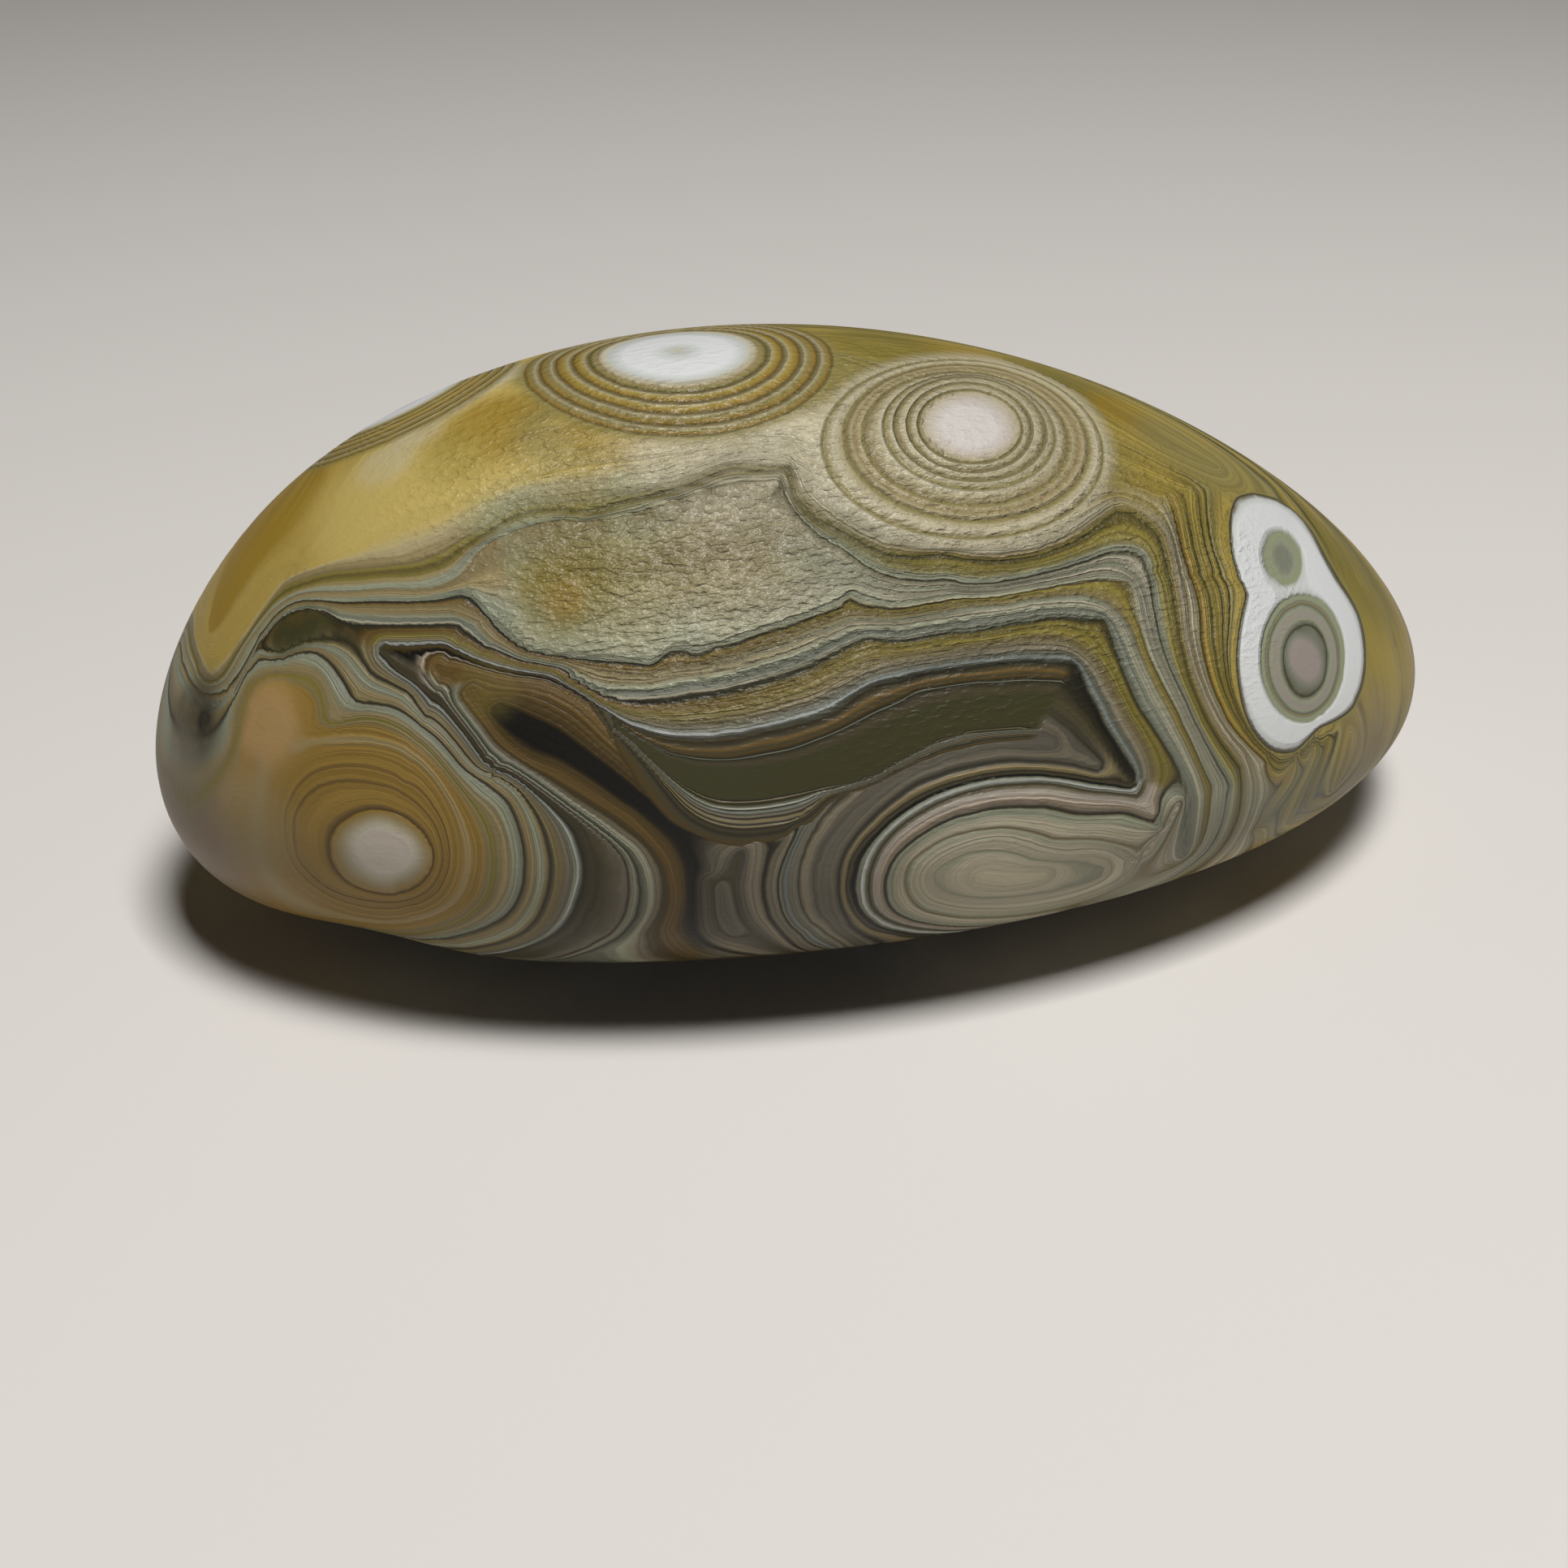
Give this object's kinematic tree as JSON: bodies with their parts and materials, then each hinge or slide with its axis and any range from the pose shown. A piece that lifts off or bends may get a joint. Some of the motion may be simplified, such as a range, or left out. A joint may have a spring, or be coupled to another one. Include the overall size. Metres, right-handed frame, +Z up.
{
  "type": "palm stone",
  "caption": "Smooth egg-shaped pebble of banded eye agate that fills a palm and rests on a small flat spot on its underside.",
  "frame": {"origin": "on the surface the stone rests on, under the middle of its length and width", "axes": "+Z up from the resting flat, +X along the length towards the pointed end"},
  "size_m": [0.0618, 0.0368, 0.0254],
  "materials": {
    "agate": "satin olive, grey and amber banded chalcedony, opaque"
  },
  "bodies": {
    "root": {"stone": "agate"}
  },
  "joints": []
}
